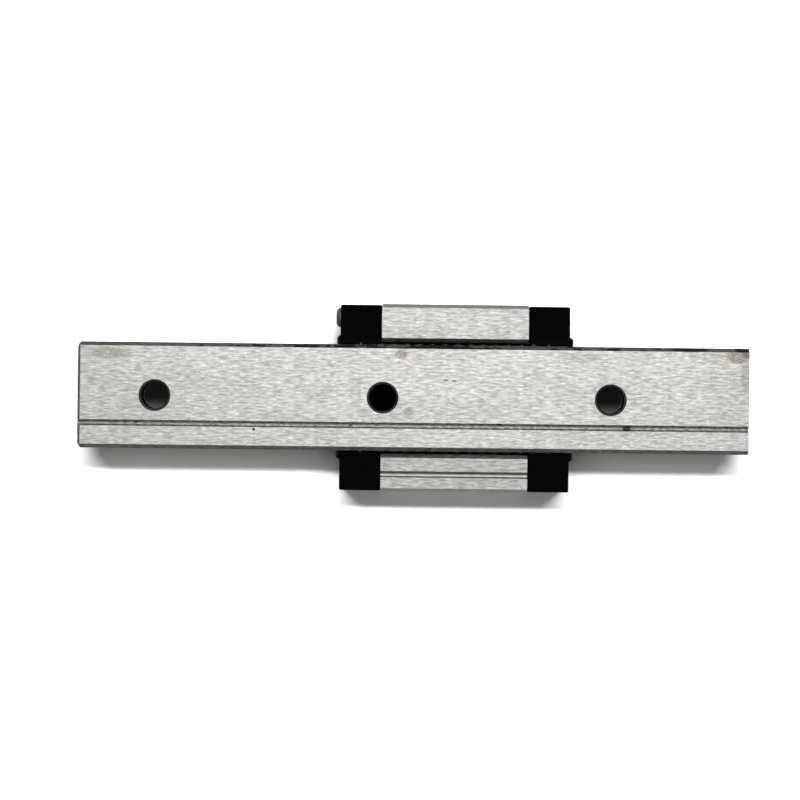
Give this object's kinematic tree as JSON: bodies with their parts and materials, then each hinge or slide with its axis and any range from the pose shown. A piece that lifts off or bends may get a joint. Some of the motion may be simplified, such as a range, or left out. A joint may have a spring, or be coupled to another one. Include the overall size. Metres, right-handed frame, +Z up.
{
  "type": "linear guide with ball carriage",
  "caption": "Miniature wide linear guide: a recirculating-ball carriage with black end plates that slides along a ground steel rail with counterbored bolt holes.",
  "frame": {"origin": "middle of the rail's underside, halfway along the rail", "axes": "+X along the rail, away from its chamfered end; +Y across, towards the side with the reference grooves; +Z up, from the rail's mounting face to the carriage's mounting face"},
  "size_m": [0.0884, 0.025, 0.009],
  "materials": {
    "ground_steel": "ground, fine lengthwise grain",
    "ground_steel_block": "ground, fine lengthwise grain",
    "moulded_plastic": "moulded, satin black",
    "seal_rubber": "matt black rubber",
    "screw_steel": "turned, bright",
    "guide_plastic": "moulded, natural white",
    "band_steel": "rolled strip",
    "ball_steel": "polished"
  },
  "bodies": {
    "rail": {"rail": "ground_steel"},
    "carriage": {"carriage_block": "ground_steel_block", "end_plate_front": "moulded_plastic", "end_seal_front": "seal_rubber", "end_plate_screws_front": "screw_steel", "return_guide_front_left": "guide_plastic", "return_guide_front_right": "guide_plastic", "end_plate_rear": "moulded_plastic", "end_seal_rear": "seal_rubber", "end_plate_screws_rear": "screw_steel", "return_guide_rear_left": "guide_plastic", "return_guide_rear_right": "guide_plastic", "lubrication_plug": "screw_steel", "retaining_band_left": "band_steel", "loaded_balls_left": "ball_steel", "return_balls_left": "ball_steel", "turning_balls_left": "ball_steel", "retaining_band_right": "band_steel", "loaded_balls_right": "ball_steel", "return_balls_right": "ball_steel", "turning_balls_right": "ball_steel"}
  },
  "joints": [
    {"name": "carriage_slide", "type": "slide", "parent": "rail", "child": "carriage", "axis": [1, 0, 0], "range_m": [-0.03405, 0.02295]}
  ]
}
